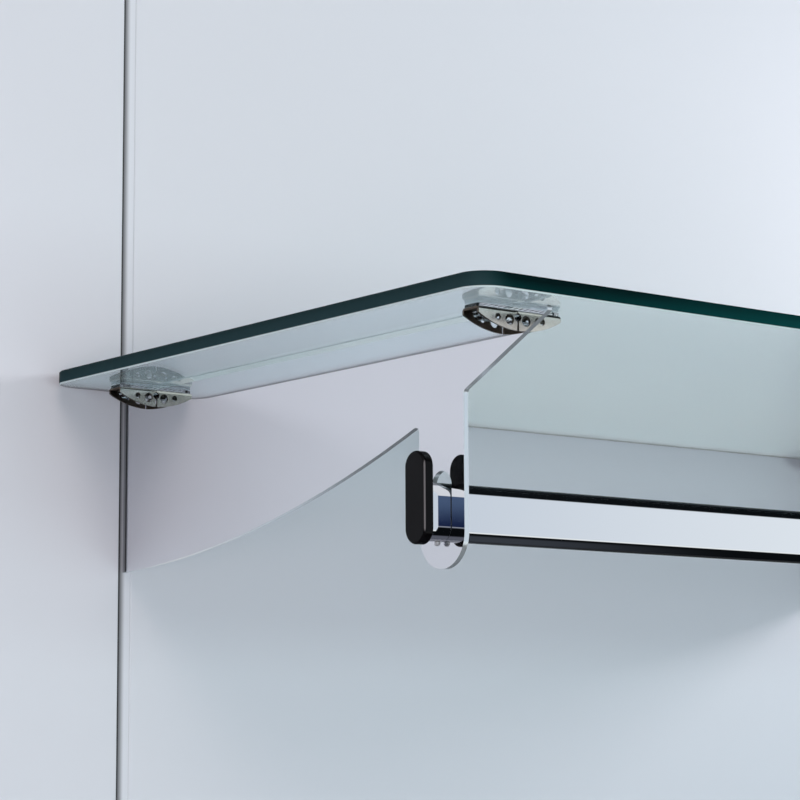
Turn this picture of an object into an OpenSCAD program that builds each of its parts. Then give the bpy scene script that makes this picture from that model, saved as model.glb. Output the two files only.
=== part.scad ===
// Glass wall shelf on two combination brackets with a hanging rail below it.
// Axes: +X runs to the right along the wall, -Y points away from the wall, +Z is up.
// Origin: the wall face, midway between the brackets, at the height of the glass underside.
// A side view is drawn as [distance from the wall, height] and then stood up by side_slab().

/* [Shelf] */
// Distance between the centres of the two bracket plates
bracket_pitch = 600; // [200:5:1200]
// Overhang of the glass past the centre of each bracket plate
glass_overhang = 54; // [34:1:150]
// Depth of the glass, front to back
glass_depth = 400; // [380:1:500]
// Thickness of the glass
glass_t = 8; // [6:0.5:12]
// Corner radius of the glass, seen from above
glass_corner_r = 15; // [4:1:30]
// Width of the polished bevels along the glass edges
glass_bevel = 0.8; // [0.3:0.1:1.5]
// Gap between the glass and the wall
glass_gap = 1; // [0:0.5:6]

/* [Bracket plate] */
// Thickness of the bracket plate
plate_t = 3; // [2:0.5:4]
// Top edge of the plate below the glass
plate_drop = 1.8; // [1.5:0.1:1.9]
// Lower edge of the plate at the wall, below the glass
wall_drop = 108.7; // [95:1:150]
// Lower edge of the plate at the arm, below the glass
root_drop = 50; // [44:1:56]
// Radius of the long sweep of the lower edge
sweep_r = 916; // [450:1:2000]
// Fillet between the sweep and the arm
root_fillet_r = 3; // [1:0.5:8]
// Glass past the tip of the plate's nose
nose_setback = 11.8; // [6:0.1:16]
// Radius of the nose
nose_r = 2; // [1:0.25:2.5]
// Point where the arm's front edge turns into the brow, below the glass
brow_drop = 36.5; // [30:1:42]
// Fillet between the arm and the brow
brow_fillet_r = 3; // [1:0.5:8]
// Centre of the arm's round end below the centre of the tube's lower curve
arm_tip_drop = 3; // [0:0.1:6]
// Width of the arm that carries the rail
arm_w = 36; // [30:1:44]

/* [Wall hooks] */
// Length of the tongue that passes through the joint between two wall panels
tongue_len = 19; // [8:1:30]
// Distance from one hook to the next
hook_pitch = 50; // [40:1:60]
// First hook below the top edge of the plate
hook_first = 8; // [4:1:15]
// Height of a hook's neck
hook_neck = 12; // [8:1:16]
// Clear mouth of a hook, which takes the sheet of the upright
hook_mouth = 2.2; // [1.5:0.1:4]
// Width of a hook's finger
hook_finger = 5; // [4:0.5:8]
// Length of the finger below the neck
hook_drop = 9; // [5:1:14]

/* [Hanging rail] */
// Distance of the rail's centre line from the wall
rail_reach = 306.5; // [302:0.5:311]
// Centre line of the rail below the glass
rail_drop = 96.8; // [90:0.5:110]
// Height of the oval tube
rail_h = 30; // [24:1:34]
// Width of the oval tube
rail_w = 15; // [12:1:20]
// Wall of the oval tube
rail_wall = 1.2; // [0.8:0.1:2]
// Length of tube that stands out past each bracket plate
rail_stub = 11.8; // [10:0.1:20]
// Free height above the tube inside its slot
rail_free = 6.4; // [3:0.1:10]
// Gap between the tube and each side of its slot
rail_side_gap = 0.5; // [0.3:0.1:1]
// Gap under the tube, where it rests in its slot
rail_seat_gap = 0.03; // [0.02:0.01:0.1]

/* [End stops] */
// Thickness of the stop's plate
stop_t = 5.8; // [3:0.1:8]
// Width of the stop's plate
stop_w = 16.4; // [15:0.1:20]
// Height of the stop above the tube
stop_above = 15.4; // [5:0.1:25]
// Height of the stop below the tube
stop_below = 1.8; // [1:0.1:6]
// Rounding of the stop's edges
stop_edge_r = 1; // [0.5:0.1:2]
// Length of the plug inside the tube
plug_len = 6.5; // [4:0.5:7]
// Wall of the hollow plug
plug_wall = 1.6; // [1:0.1:2.5]
// Gap between the plug and the tube
plug_gap = 0.1; // [0.05:0.05:0.3]

/* [Lock screws] */
// Axis of the lock screw past the outer face of the bracket plate
screw_out = 3.1; // [3:0.1:3.5]
// Diameter of the screw's head
screw_head_d = 3.1; // [2.8:0.1:4]
// Height of the screw's head
screw_head_h = 2.1; // [1.4:0.1:3]
// Diameter of the screw's shank
screw_d = 2; // [1.6:0.1:2.4]
// Length of the cross recess in the head
recess_l = 1.8; // [1.2:0.1:2.2]
// Width of the cross recess in the head
recess_w = 0.5; // [0.4:0.1:0.7]
// Length of the shank above the head
screw_len = 4; // [3:0.5:8]
// Gap round the shank where it passes through the tube
screw_gap = 0.05; // [0.02:0.01:0.1]

/* [Carriers] */
// Distance of the rear carriers from the wall
carrier_rear = 30; // [15:1:60]
// Middle of the front carriers behind the front of the glass
carrier_setback = 40; // [34:1:48]
// Length of a carrier, along the wall
carrier_l = 53; // [50:1:64]
// Width of a carrier, over both cheeks
carrier_w = 12.6; // [11:0.1:14]
// Height of a carrier at its middle
carrier_h = 10.2; // [9.6:0.1:12]
// Height of a carrier at its ends
carrier_end_h = 3.2; // [2:0.1:5]
// Thickness of the carrier's sheet
sheet_t = 1.2; // [0.8:0.1:1.3]
// Outer bend radius of the folded sheet
bend_r = 1.6; // [1.4:0.1:2.5]
// Gap between the carrier and the plate notch it sits in
carrier_gap = 0.15; // [0.05:0.05:0.2]
// Gap between the cheeks' slots and each face of the plate
slot_gap = 0.6; // [0.1:0.1:0.7]
// Diameter of the large holes in the cheeks
big_hole_d = 5.4; // [4:0.1:6]
// Large holes from the middle of the carrier
big_hole_at = 6.8; // [6.5:0.1:7.5]
// Diameter of the small holes in the cheeks
small_hole_d = 3.4; // [2:0.1:4]
// Small holes from the middle of the carrier
small_hole_at = 14.3; // [12.5:0.1:16]
// Centres of the large holes below the carrier's top
big_hole_drop = 4.9; // [4.6:0.1:5.2]
// Centres of the small holes below the carrier's top
small_hole_drop = 4.2; // [3.5:0.1:5]
// Length of the relief hole at the top of the cheeks' slots
relief_l = 7.4; // [6.6:0.1:7.6]
// Height of the relief hole
relief_h = 3.6; // [3:0.1:3.8]
// Centre of the relief hole below the carrier's top
relief_drop = 3.5; // [3.3:0.1:3.8]

/* [Pads] */
// Height of a pad above its carrier
pad_t = 2; // [2:0.1:4]
// Corner radius of a pad, seen from above
pad_corner_r = 2.5; // [1:0.5:4]
// Diameter of the round ribs across the pad
rib_d = 1.4; // [1:0.1:1.8]
// Height of the ribs above the pad's body
rib_rise = 0.4; // [0.2:0.1:0.5]
// Distance from one rib to the next
rib_pitch = 3.3; // [2.4:0.1:6]
// Depth of the pad's two feet inside the carrier
foot_h = 5; // [3:0.1:6]
// Inner end of each foot from the middle of the carrier
foot_from = 3.6; // [2.6:0.1:4]
// Outer end of each foot from the middle of the carrier
foot_to = 21; // [18:0.1:22]
// Rounding of each foot's lower outer corner
foot_r = 4; // [1:0.1:4.5]
// Gap round each foot in its window
foot_gap = 0.1; // [0.05:0.05:0.2]
// Gap between the pads and the glass
glass_seat_gap = 0.02; // [0.01:0.01:0.05]

/* [Hidden] */
$fn = 64;
sweep_fn = 720;
past = 1;
left = -1;
right = 1;

plate_x = bracket_pitch / 2;
plate_face_x = plate_x + plate_t / 2;
glass_half_w = plate_x + glass_overhang;
glass_front = glass_gap + glass_depth;
nose_reach = glass_front - nose_setback;
carrier_front = glass_front - carrier_setback;
arm_back = rail_reach - arm_w / 2;
arm_front = rail_reach + arm_w / 2;
rail_half_len = plate_face_x + rail_stub;
rail_end_r = rail_w / 2;
rail_arc_rise = rail_h / 2 - rail_end_r;
slot_r = rail_end_r + rail_side_gap;
slot_low = -rail_drop - rail_arc_rise + rail_side_gap - rail_seat_gap;
slot_high = -rail_drop + rail_h / 2 + rail_free - slot_r;
sweep_start = [0, -wall_drop];
sweep_end = [arm_back, -root_drop];
sweep_centre = centre_above(sweep_start, sweep_end, sweep_r);
sweep_heading = atan2(sweep_end.y - sweep_centre.y, sweep_end.x - sweep_centre.x) + 270;
brow = [arm_front, -brow_drop];
nose = [nose_reach - nose_r, -plate_drop - nose_r];
nose_touch = tangent_below(brow, nose, nose_r);
brow_angle = atan2(nose_touch.y - brow.y, nose_touch.x - brow.x);
hook_span = hook_mouth + hook_finger;
carrier_sag = carrier_h - carrier_end_h;
carrier_arc_r = (pow(carrier_l / 2, 2) + pow(carrier_sag, 2)) / (2 * carrier_sag);
cheek_gap = carrier_w - 2 * sheet_t;
pad_w = carrier_w - 2 * carrier_gap;
pad_body_t = pad_t - rib_rise - glass_seat_gap;
ribs = floor((carrier_l - 2 * pad_corner_r) / rib_pitch / 2);
screw_x = plate_face_x + screw_out;
screw_z = -rail_drop - rail_h / 2;

// Centre of the circle of radius r through p and q that lies above the line p-q
function centre_above(p, q, r) =
    let (along = q - p, half = norm(along) / 2)
    (p + q) / 2 + [-along.y, along.x] / norm(along) * sqrt(r * r - half * half);

// Point where the line from p touches the lower side of the circle of radius r round c
function tangent_below(p, c, r) =
    let (far = norm(c - p), aim = atan2(c.y - p.y, c.x - p.x), turn = asin(r / far))
    p + sqrt(far * far - r * r) * [cos(aim - turn), sin(aim - turn)];

// Stands a side view up at x and gives it a thickness along X
module side_slab(x, t) {
    translate([x, 0, 0])
        rotate([90, 0, -90])
            linear_extrude(height = t, center = true) children();
}

// Extrudes a profile drawn as [Y, Z] along X, centred on x = 0
module along_wall(length) {
    rotate([90, 0, 90])
        linear_extrude(height = length, center = true) children();
}

// Extrudes a front view drawn as [X, Z] along Y, centred on y = 0
module across(length) {
    rotate([90, 0, 0])
        linear_extrude(height = length, center = true) children();
}

// Upright oval between two centre heights, with round ends of radius r
module oval(low, high, r) {
    translate([-r, low]) square([2 * r, high - low]);
    translate([0, low]) circle(r);
    translate([0, high]) circle(r);
}

// Fills the inner corner at p between the edges that leave it at angles from and to
module inner_fillet(p, from, to, r) {
    half = (to - from) / 2;
    bisector = (from + to) / 2;
    centre = p + r / sin(half) * [cos(bisector), sin(bisector)];
    run = r / tan(half);
    difference() {
        polygon([
            p,
            p + run * [cos(from), sin(from)],
            centre,
            p + run * [cos(to), sin(to)]
        ]);
        translate(centre) circle(r);
    }
}

// One hook in side view, with the top of its neck at height z
module hook(z) {
    back = -tongue_len - hook_span;
    tip = z - hook_neck - hook_drop;
    translate([back, z - hook_neck]) square([hook_span + past, hook_neck - hook_finger / 2]);
    translate([back + hook_finger / 2, z - hook_finger]) square([hook_span + past, hook_finger]);
    translate([back + hook_finger / 2, z - hook_finger / 2]) circle(hook_finger / 2);
    translate([back, tip + hook_finger / 2]) square([hook_finger, hook_drop + hook_finger / 2]);
    translate([back + hook_finger / 2, tip + hook_finger / 2]) circle(hook_finger / 2);
}

// Tongue and hooks behind the wall face
module wall_fixing() {
    translate([-tongue_len, -wall_drop]) square([tongue_len + past, wall_drop - plate_drop]);
    for (i = [0:1]) hook(-plate_drop - hook_first - i * hook_pitch);
}

// Web from the wall to the arm, with the long sweep as its lower edge
module swept_web() {
    intersection() {
        translate([0, -wall_drop]) square([arm_back + past, wall_drop - plate_drop]);
        translate(sweep_centre) circle(sweep_r, $fn = sweep_fn);
    }
    inner_fillet(sweep_end, sweep_heading, 270, root_fillet_r);
}

// Hanging arm with its round end
module arm() {
    tip = -rail_drop - rail_arc_rise - arm_tip_drop;
    translate([arm_back, tip]) square([arm_w, -plate_drop - tip]);
    translate([rail_reach, tip]) circle(arm_w / 2);
}

// Brow that slopes up from the arm to the nose
module brow_and_nose() {
    polygon([
        [arm_front - past, -plate_drop],
        [arm_front - past, -brow_drop],
        brow,
        nose_touch,
        nose,
        [nose.x, -plate_drop]
    ]);
    translate(nose) circle(nose_r);
    inner_fillet(brow, -90, brow_angle, brow_fillet_r);
}

// Notch in the plate's top edge that takes a carrier and its pad
module carrier_notch(reach) {
    width = carrier_w + 2 * carrier_gap;
    translate([reach - width / 2, -pad_t - sheet_t]) square([width, pad_t + sheet_t]);
}

module bracket_plate(side) {
    color("silver")
        side_slab(side * plate_x, plate_t)
            difference() {
                union() {
                    wall_fixing();
                    swept_web();
                    arm();
                    brow_and_nose();
                }
                translate([rail_reach, 0]) oval(slot_low, slot_high, slot_r);
                carrier_notch(carrier_rear);
                carrier_notch(carrier_front);
            }
}

// Folded sheet in cross-section, open below
module channel_profile() {
    difference() {
        union() {
            translate([-carrier_w / 2, -carrier_h]) square([carrier_w, carrier_h - bend_r]);
            translate([-carrier_w / 2 + bend_r, -bend_r - past]) square([carrier_w - 2 * bend_r, bend_r + past]);
            for (s = [left, right]) translate([s * (carrier_w / 2 - bend_r), -bend_r]) circle(bend_r);
        }
        translate([-cheek_gap / 2, -carrier_h - past]) square([cheek_gap, carrier_h + past - sheet_t]);
    }
}

// Boat shape of the cheeks in front view
module boat_outline() {
    intersection() {
        translate([-carrier_l / 2, -carrier_h]) square([carrier_l, carrier_h]);
        translate([0, carrier_arc_r - carrier_h]) circle(carrier_arc_r, $fn = sweep_fn);
    }
}

// Holes through both cheeks in front view
module cheek_holes() {
    for (s = [left, right]) {
        translate([s * big_hole_at, -big_hole_drop]) circle(big_hole_d / 2);
        translate([s * small_hole_at, -small_hole_drop]) circle(small_hole_d / 2);
    }
}

// Relief hole and slot that straddle the plate, in front view
module plate_slot() {
    width = plate_t + 2 * slot_gap;
    straight = relief_l - relief_h;
    translate([-straight / 2, -relief_drop - relief_h / 2]) square([straight, relief_h]);
    for (s = [left, right]) translate([s * straight / 2, -relief_drop]) circle(relief_h / 2);
    translate([-width / 2, -carrier_h - past]) square([width, carrier_h + past - sheet_t]);
}

module carrier(side, reach) {
    color("gainsboro")
        translate([side * plate_x, -reach, -pad_t])
            difference() {
                intersection() {
                    along_wall(carrier_l) channel_profile();
                    across(carrier_w + past) boat_outline();
                }
                across(carrier_w + past) cheek_holes();
                across(carrier_w + past) plate_slot();
                for (s = [left, right]) window(s);
            }
}

// Window in the web of the carrier for one foot of the pad
module window(s) {
    long = foot_to - foot_from + 2 * foot_gap;
    translate([s * (foot_from + foot_to) / 2 - long / 2, -cheek_gap / 2, -sheet_t - past])
        cube([long, cheek_gap, sheet_t + 2 * past]);
}

// One foot of a pad in front view, with a round lower outer corner
module foot_outline() {
    intersection() {
        translate([foot_from, -foot_h]) square([foot_to - foot_from, foot_h]);
        union() {
            translate([foot_from, -foot_h]) square([foot_to - foot_from - foot_r, foot_h]);
            translate([foot_from, foot_r - foot_h]) square([foot_to - foot_from, foot_h]);
            translate([foot_to - foot_r, foot_r - foot_h]) circle(foot_r);
        }
    }
}

// Plan of a pad with round corners
module pad_plan() {
    long = carrier_l - 2 * pad_corner_r;
    wide = pad_w - 2 * pad_corner_r;
    square([carrier_l, wide], center = true);
    square([long, pad_w], center = true);
    for (sx = [left, right], sy = [left, right])
        translate([sx * long / 2, sy * wide / 2]) circle(pad_corner_r);
}

module pad(side, reach) {
    color("aliceblue", 0.7)
        translate([side * plate_x, -reach, -pad_t]) {
            linear_extrude(height = pad_body_t) pad_plan();
            for (i = [-ribs:ribs])
                translate([i * rib_pitch, 0, pad_body_t + rib_rise - rib_d / 2])
                    across(pad_w - 2 * pad_corner_r) circle(rib_d / 2, $fn = 24);
            across(cheek_gap - 2 * foot_gap) foot_outline();
            mirror([1, 0, 0]) across(cheek_gap - 2 * foot_gap) foot_outline();
        }
}

// Bevelled edge of the glass in section: reach is measured outwards from the flat of the edge
module glass_section(reach) {
    polygon([
        [0, 0],
        [reach - glass_bevel, 0],
        [reach, glass_bevel],
        [reach, glass_t - glass_bevel],
        [reach - glass_bevel, glass_t],
        [0, glass_t]
    ]);
}

module glass_shelf() {
    half_d = glass_depth / 2;
    color("lightcyan", 0.6)
        translate([0, -glass_gap - half_d, 0]) {
            for (turn = [0, 180])
                rotate([0, 0, turn]) {
                    along_wall(2 * (glass_half_w - glass_corner_r)) glass_section(half_d);
                    rotate([0, 0, 90])
                        along_wall(2 * (half_d - glass_corner_r)) glass_section(glass_half_w);
                    for (s = [left, right])
                        translate([s * (glass_half_w - glass_corner_r), half_d - glass_corner_r, 0])
                            rotate_extrude() glass_section(glass_corner_r);
                }
        }
}

module hanging_rail() {
    color("silver")
        difference() {
            translate([0, -rail_reach, -rail_drop])
                along_wall(2 * rail_half_len)
                    difference() {
                        oval(-rail_arc_rise, rail_arc_rise, rail_end_r);
                        oval(-rail_arc_rise, rail_arc_rise, rail_end_r - rail_wall);
                    }
            for (s = [left, right])
                translate([s * screw_x, -rail_reach, screw_z - past])
                    cylinder(h = rail_w / 2, d = screw_d + 2 * screw_gap);
        }
}

// Half section of the stop's plate: reach outwards, thickness upwards, with round outer edges
module stop_section(reach) {
    square([reach - stop_edge_r, stop_t]);
    translate([0, stop_edge_r]) square([reach, stop_t - 2 * stop_edge_r]);
    for (depth = [stop_edge_r, stop_t - stop_edge_r])
        translate([reach - stop_edge_r, depth]) circle(stop_edge_r, $fn = 32);
}

// Stop plate with soft edges, standing on the plane x = 0 and growing to +X
module stop_plate() {
    reach = stop_w / 2;
    low = -rail_h / 2 - stop_below + reach;
    high = rail_h / 2 + stop_above - reach;
    rotate([0, 90, 0]) {
        for (level = [low, high])
            translate([-level, 0, 0]) rotate_extrude() stop_section(reach);
        translate([-(low + high) / 2, 0, 0])
            along_wall(high - low) {
                stop_section(reach);
                mirror([1, 0]) stop_section(reach);
            }
    }
}

// Hollow plug that pushes into the end of the tube
module stop_plug() {
    plug_r = rail_end_r - rail_wall - plug_gap;
    translate([(past - plug_len) / 2, 0, 0])
        along_wall(plug_len + past)
            difference() {
                oval(-rail_arc_rise, rail_arc_rise, plug_r);
                oval(-rail_arc_rise, rail_arc_rise, plug_r - plug_wall);
            }
}

module end_stop(side) {
    color("#1c1c1e")
        translate([side * rail_half_len, -rail_reach, -rail_drop])
            mirror([side == left ? 1 : 0, 0, 0]) {
                stop_plate();
                stop_plug();
            }
}

// Pan-head screw that stands on its head's top face at z = 0, shank up
module lock_screw(side) {
    crown = screw_head_h / 2;
    color("gainsboro")
        translate([side * screw_x, -rail_reach, screw_z])
            difference() {
                union() {
                    translate([0, 0, -crown]) cylinder(h = crown, d = screw_head_d);
                    translate([0, 0, -crown]) rotate_extrude() crown_section(screw_head_d / 2, crown);
                    translate([0, 0, -past / 2]) cylinder(h = screw_len + past / 2, d = screw_d);
                }
                for (turn = [0, 90])
                    rotate([0, 0, turn])
                        translate([0, 0, -screw_head_h])
                            cube([recess_l, recess_w, crown], center = true);
            }
}

// Half section of a shallow crown of radius r and height h below z = 0
module crown_section(r, h) {
    crown_r = (r * r + h * h) / (2 * h);
    intersection() {
        translate([0, -h]) square([r, h]);
        translate([0, crown_r - h]) circle(crown_r, $fn = 128);
    }
}

bracket_plate(left);  // bracket_plate_left
bracket_plate(right);  // bracket_plate_right
carrier(left, carrier_rear);  // carrier_rear_left
carrier(right, carrier_rear);  // carrier_rear_right
carrier(left, carrier_front);  // carrier_front_left
carrier(right, carrier_front);  // carrier_front_right
pad(left, carrier_rear);  // pad_rear_left
pad(right, carrier_rear);  // pad_rear_right
pad(left, carrier_front);  // pad_front_left
pad(right, carrier_front);  // pad_front_right
glass_shelf();
hanging_rail();
end_stop(left);  // end_stop_left
end_stop(right);  // end_stop_right
lock_screw(left);  // lock_screw_left
lock_screw(right);  // lock_screw_right
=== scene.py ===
"""Dresses the glass wall shelf: plates, carriers, clear pads, glass, clothes rail, end stops and screws."""

import logging
import math
from dataclasses import dataclass, field
from enum import Enum
from functools import reduce
from operator import mul

import bmesh
import bpy
import numpy as np
from mathutils import Matrix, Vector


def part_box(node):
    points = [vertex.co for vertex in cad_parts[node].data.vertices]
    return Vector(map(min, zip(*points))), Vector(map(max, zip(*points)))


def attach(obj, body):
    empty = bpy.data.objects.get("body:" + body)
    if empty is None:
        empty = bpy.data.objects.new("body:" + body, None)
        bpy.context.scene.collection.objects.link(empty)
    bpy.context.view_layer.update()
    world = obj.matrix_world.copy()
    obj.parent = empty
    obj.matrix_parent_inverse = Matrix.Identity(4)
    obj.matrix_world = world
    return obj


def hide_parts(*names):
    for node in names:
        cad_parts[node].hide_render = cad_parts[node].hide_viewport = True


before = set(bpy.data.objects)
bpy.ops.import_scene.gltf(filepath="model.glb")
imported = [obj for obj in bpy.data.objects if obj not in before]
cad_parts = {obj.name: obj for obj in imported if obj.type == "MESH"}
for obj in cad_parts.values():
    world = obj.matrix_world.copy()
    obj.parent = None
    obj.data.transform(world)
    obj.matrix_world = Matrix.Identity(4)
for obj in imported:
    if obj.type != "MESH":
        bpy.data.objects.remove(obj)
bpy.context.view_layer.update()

LOG = logging.getLogger("shelf")
MM = 0.001
WELD = 1e-6
SHARP = math.radians(32)

Pair = tuple[float, float]
Triple = tuple[float, float, float]
# An axis, and the values on it at which a smooth edge gives 0 and 1
Edge = tuple[str, float, float]


# ---------------- choices


class Side(Enum):
    """Left or right bracket, with the sign of its X."""

    LEFT = -1
    RIGHT = 1

    @property
    def word(self) -> str:
        """Gives the side's name as the nodes spell it."""
        return self.name.lower()


class Row(Enum):
    """Carrier row: near the wall or near the front of the glass."""

    REAR = "rear"
    FRONT = "front"


class Ray(Enum):
    """What a ray is, or how often it has bounced, as the Light Path node names it."""

    SEEN = "Is Camera Ray"
    GLOSSY = "Is Glossy Ray"
    THROUGH = "Is Transmission Ray"
    MIRRORS = "Glossy Depth"
    BOUNCES = "Diffuse Depth"


# ---------------- shader maths


class Shade:
    """A shader socket that takes part in Python arithmetic."""

    def __init__(self, graph: "Graph", socket: bpy.types.NodeSocket | None) -> None:
        """Keeps the socket and the graph it belongs to."""
        self.graph = graph
        self.socket = socket

    def _maths(self, operation: str, *terms: "Shade | float", clamp: bool = False) -> "Shade":
        """Adds one Math node on values or sockets; a clamp holds its result between 0 and 1."""
        settings = {"operation": operation, "use_clamp": clamp}
        return self.graph.node("ShaderNodeMath", settings, dict(enumerate(terms)))

    def __add__(self, other: "Shade | float") -> "Shade":
        """Adds."""
        return self._maths("ADD", self, other)

    __radd__ = __add__

    def __sub__(self, other: "Shade | float") -> "Shade":
        """Subtracts."""
        return self._maths("SUBTRACT", self, other)

    def __rsub__(self, other: float) -> "Shade":
        """Subtracts from a number."""
        return self._maths("SUBTRACT", other, self)

    def __mul__(self, other: "Shade | float") -> "Shade":
        """Multiplies."""
        return self._maths("MULTIPLY", self, other)

    __rmul__ = __mul__

    def __truediv__(self, other: "Shade | float") -> "Shade":
        """Divides."""
        return self._maths("DIVIDE", self, other)

    def clipped(self) -> "Shade":
        """Holds the value between 0 and 1."""
        return self._maths("ADD", self, 0.0, clamp=True)

    def ramp(self, low: float, high: float) -> "Shade":
        """Rises smoothly from 0 at low to 1 at high; a low above high falls instead."""
        return self.graph.node(
            "ShaderNodeMapRange",
            {"interpolation_type": "SMOOTHSTEP"},
            {"Value": self, "From Min": low, "From Max": high, "To Min": 0.0, "To Max": 1.0},
        )


class Graph:
    """A node tree under construction."""

    def __init__(self, tree: bpy.types.NodeTree) -> None:
        """Empties the tree and keeps it."""
        tree.nodes.clear()
        self.tree = tree

    def node(
        self,
        kind: str,
        settings: dict[str, object] | None = None,
        inputs: dict[object, object] | None = None,
        output: object = 0,
    ) -> Shade:
        """Adds one node.

        Args:
            kind: The node's type.
            settings: Properties set first.
            inputs: Values or links, by socket name or index.
            output: Name or index of the socket handed back.

        Returns:
            The chosen output.
        """
        made = self.tree.nodes.new(kind)
        for name, value in (settings or {}).items():
            setattr(made, name, value)
        for key, value in (inputs or {}).items():
            if isinstance(value, Shade):
                self.tree.links.new(value.socket, made.inputs[key])
            else:
                made.inputs[key].default_value = value
        return Shade(self, made.outputs[output] if len(made.outputs) else None)

    def coords(self, scale: Triple = (1, 1, 1)) -> Shade:
        """Gives the object's own coordinates, scaled."""
        point = self.node("ShaderNodeTexCoord", output="Object")
        return self.node("ShaderNodeMapping", {"vector_type": "POINT"}, {"Vector": point, "Scale": scale})

    def axes(self, vector: Shade) -> dict[str, Shade]:
        """Gives the x, y and z of a vector, in this order."""
        parts = self.node("ShaderNodeSeparateXYZ", None, {0: vector}).socket.node.outputs
        return {axis: Shade(self, part) for axis, part in zip("xyz", parts)}

    def ray(self, fact: Ray) -> Shade:
        """Gives a fact about the ray that asks."""
        return self.node("ShaderNodeLightPath", output=fact.value)

    def behind_glass(self) -> Shade:
        """Gives 1 for a mirrored ray that went on through the glass and met nothing matt before."""
        mirrored = self.ray(Ray.MIRRORS).ramp(0.4, 0.6)
        return self.ray(Ray.THROUGH) * mirrored * self.ray(Ray.BOUNCES).ramp(0.6, 0.4)

    def blend(self, factor: "Shade | float", first: object, second: object) -> Shade:
        """Mixes two colours, or sockets that give them; the factor is the second one's share."""
        return self.node("ShaderNodeMix", {"data_type": "RGBA"}, {0: factor, 6: first, 7: second}, 2)

    def bump(self, height: Shade, depth: float) -> Shade:
        """Turns a height of 0 to 1 into a normal, depth in metres."""
        return self.node("ShaderNodeBump", None, {"Strength": 1.0, "Distance": depth, "Height": height})


def rgba(colour: Triple) -> tuple[float, float, float, float]:
    """Adds full opacity to a colour."""
    return (*colour, 1.0)


def inside(axes: dict[str, Shade], *edges: Edge) -> Shade:
    """Multiplies the smooth steps of some edges: 1 inside the patch that they bound and 0 outside."""
    return reduce(mul, (axes[axis].ramp(low, high) for axis, low, high in edges))


@dataclass(frozen=True)
class Tint:
    """A colour that changes across an edge; each side of it may be such a colour too."""

    edge: Edge
    start: "Triple | Tint"
    end: "Triple | Tint"


def painted(graph: Graph, axes: dict[str, Shade], tint: "Triple | Tint") -> object:
    """Turns a colour into what a socket takes.

    Args:
        graph: The tree that gets the nodes of a colour that changes.
        axes: Values by the names that the edges use.
        tint: The colour.

    Returns:
        A plain colour as it is, or the socket of one that changes.
    """
    if not isinstance(tint, Tint):
        return rgba(tint)
    start, end = painted(graph, axes, tint.start), painted(graph, axes, tint.end)
    return graph.blend(inside(axes, tint.edge), start, end)


@dataclass(frozen=True)
class Pattern:
    """Noise of 0 to 1 over a piece, in the piece's own coordinates.

    The scale is in waves a metre, detail is the number of octaves, stretch multiplies the
    coordinates, rough is the weight of the finer octaves, and fade holds the two values of the
    noise that become 0 and 1.
    """

    scale: float
    detail: float
    stretch: Triple = (1, 1, 1)
    rough: float = 0.55
    fade: Pair | None = None

    def on(self, graph: Graph) -> Shade:
        """Adds the pattern to a node tree.

        Args:
            graph: The tree.

        Returns:
            The noise, faded if it has a fade.
        """
        where = {"Vector": graph.coords(self.stretch), "Scale": self.scale}
        finer = {"Detail": self.detail, "Roughness": self.rough}
        noise = graph.node("ShaderNodeTexNoise", None, where | finer)
        return noise.ramp(*self.fade) if self.fade else noise


# ---------------- finishes


@dataclass(frozen=True)
class Finish:
    """What every finish has: a name, which is the record's slot for a main finish, and a colour."""

    slot: str
    colour: Triple

    def shaded(self, part: float) -> Triple:
        """Gives the colour times a part."""
        return tuple(part * c for c in self.colour)

    def inputs(self, graph: Graph) -> dict[object, object]:
        """Gives the values and links of the main shader."""
        return {"Base Color": rgba(self.colour)}

    def interior(self, graph: Graph) -> Shade | None:
        """Gives the volume shader, if the finish has one."""
        return None

    def material(self) -> bpy.types.Material:
        """Builds the finish's material.

        Returns:
            The material, with one main shader.
        """
        made = bpy.data.materials.new(f"{self.slot}_look")
        made.use_nodes = True
        graph = Graph(made.node_tree)
        links = {"Surface": graph.node("ShaderNodeBsdfPrincipled", None, self.inputs(graph))}
        within = self.interior(graph)
        if within is not None:
            links["Volume"] = within
        graph.node("ShaderNodeOutputMaterial", None, links)
        made.diffuse_color = rgba(self.colour)
        return made


@dataclass(frozen=True)
class MirrorChrome(Finish):
    """Polished chrome plate with faint wiping marks and a few hairlines."""

    haze: float = 0.012
    smudge: float = 0.05
    scratch: float = 0.02
    metal: float = 1.0
    dull: float = 0.965
    wiping: Pattern = Pattern(22, 4, stretch=(1, 1, 3), fade=(0.56, 0.78))
    hairlines: Pattern = Pattern(1.0, 2, stretch=(6, 6, 900), fade=(0.66, 0.74))
    clouds: Pattern = Pattern(9, 2)

    def inputs(self, graph: Graph) -> dict[object, object]:
        """Gives a mirror whose roughness rises where it has been wiped or touched."""
        wiped = self.smudge * self.wiping.on(graph)
        scratched = self.scratch * self.hairlines.on(graph)
        return {
            "Base Color": graph.blend(self.clouds.on(graph), rgba(self.shaded(self.dull)), rgba(self.colour)),
            "Metallic": self.metal,
            "Roughness": self.haze + wiped + scratched,
        }


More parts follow.
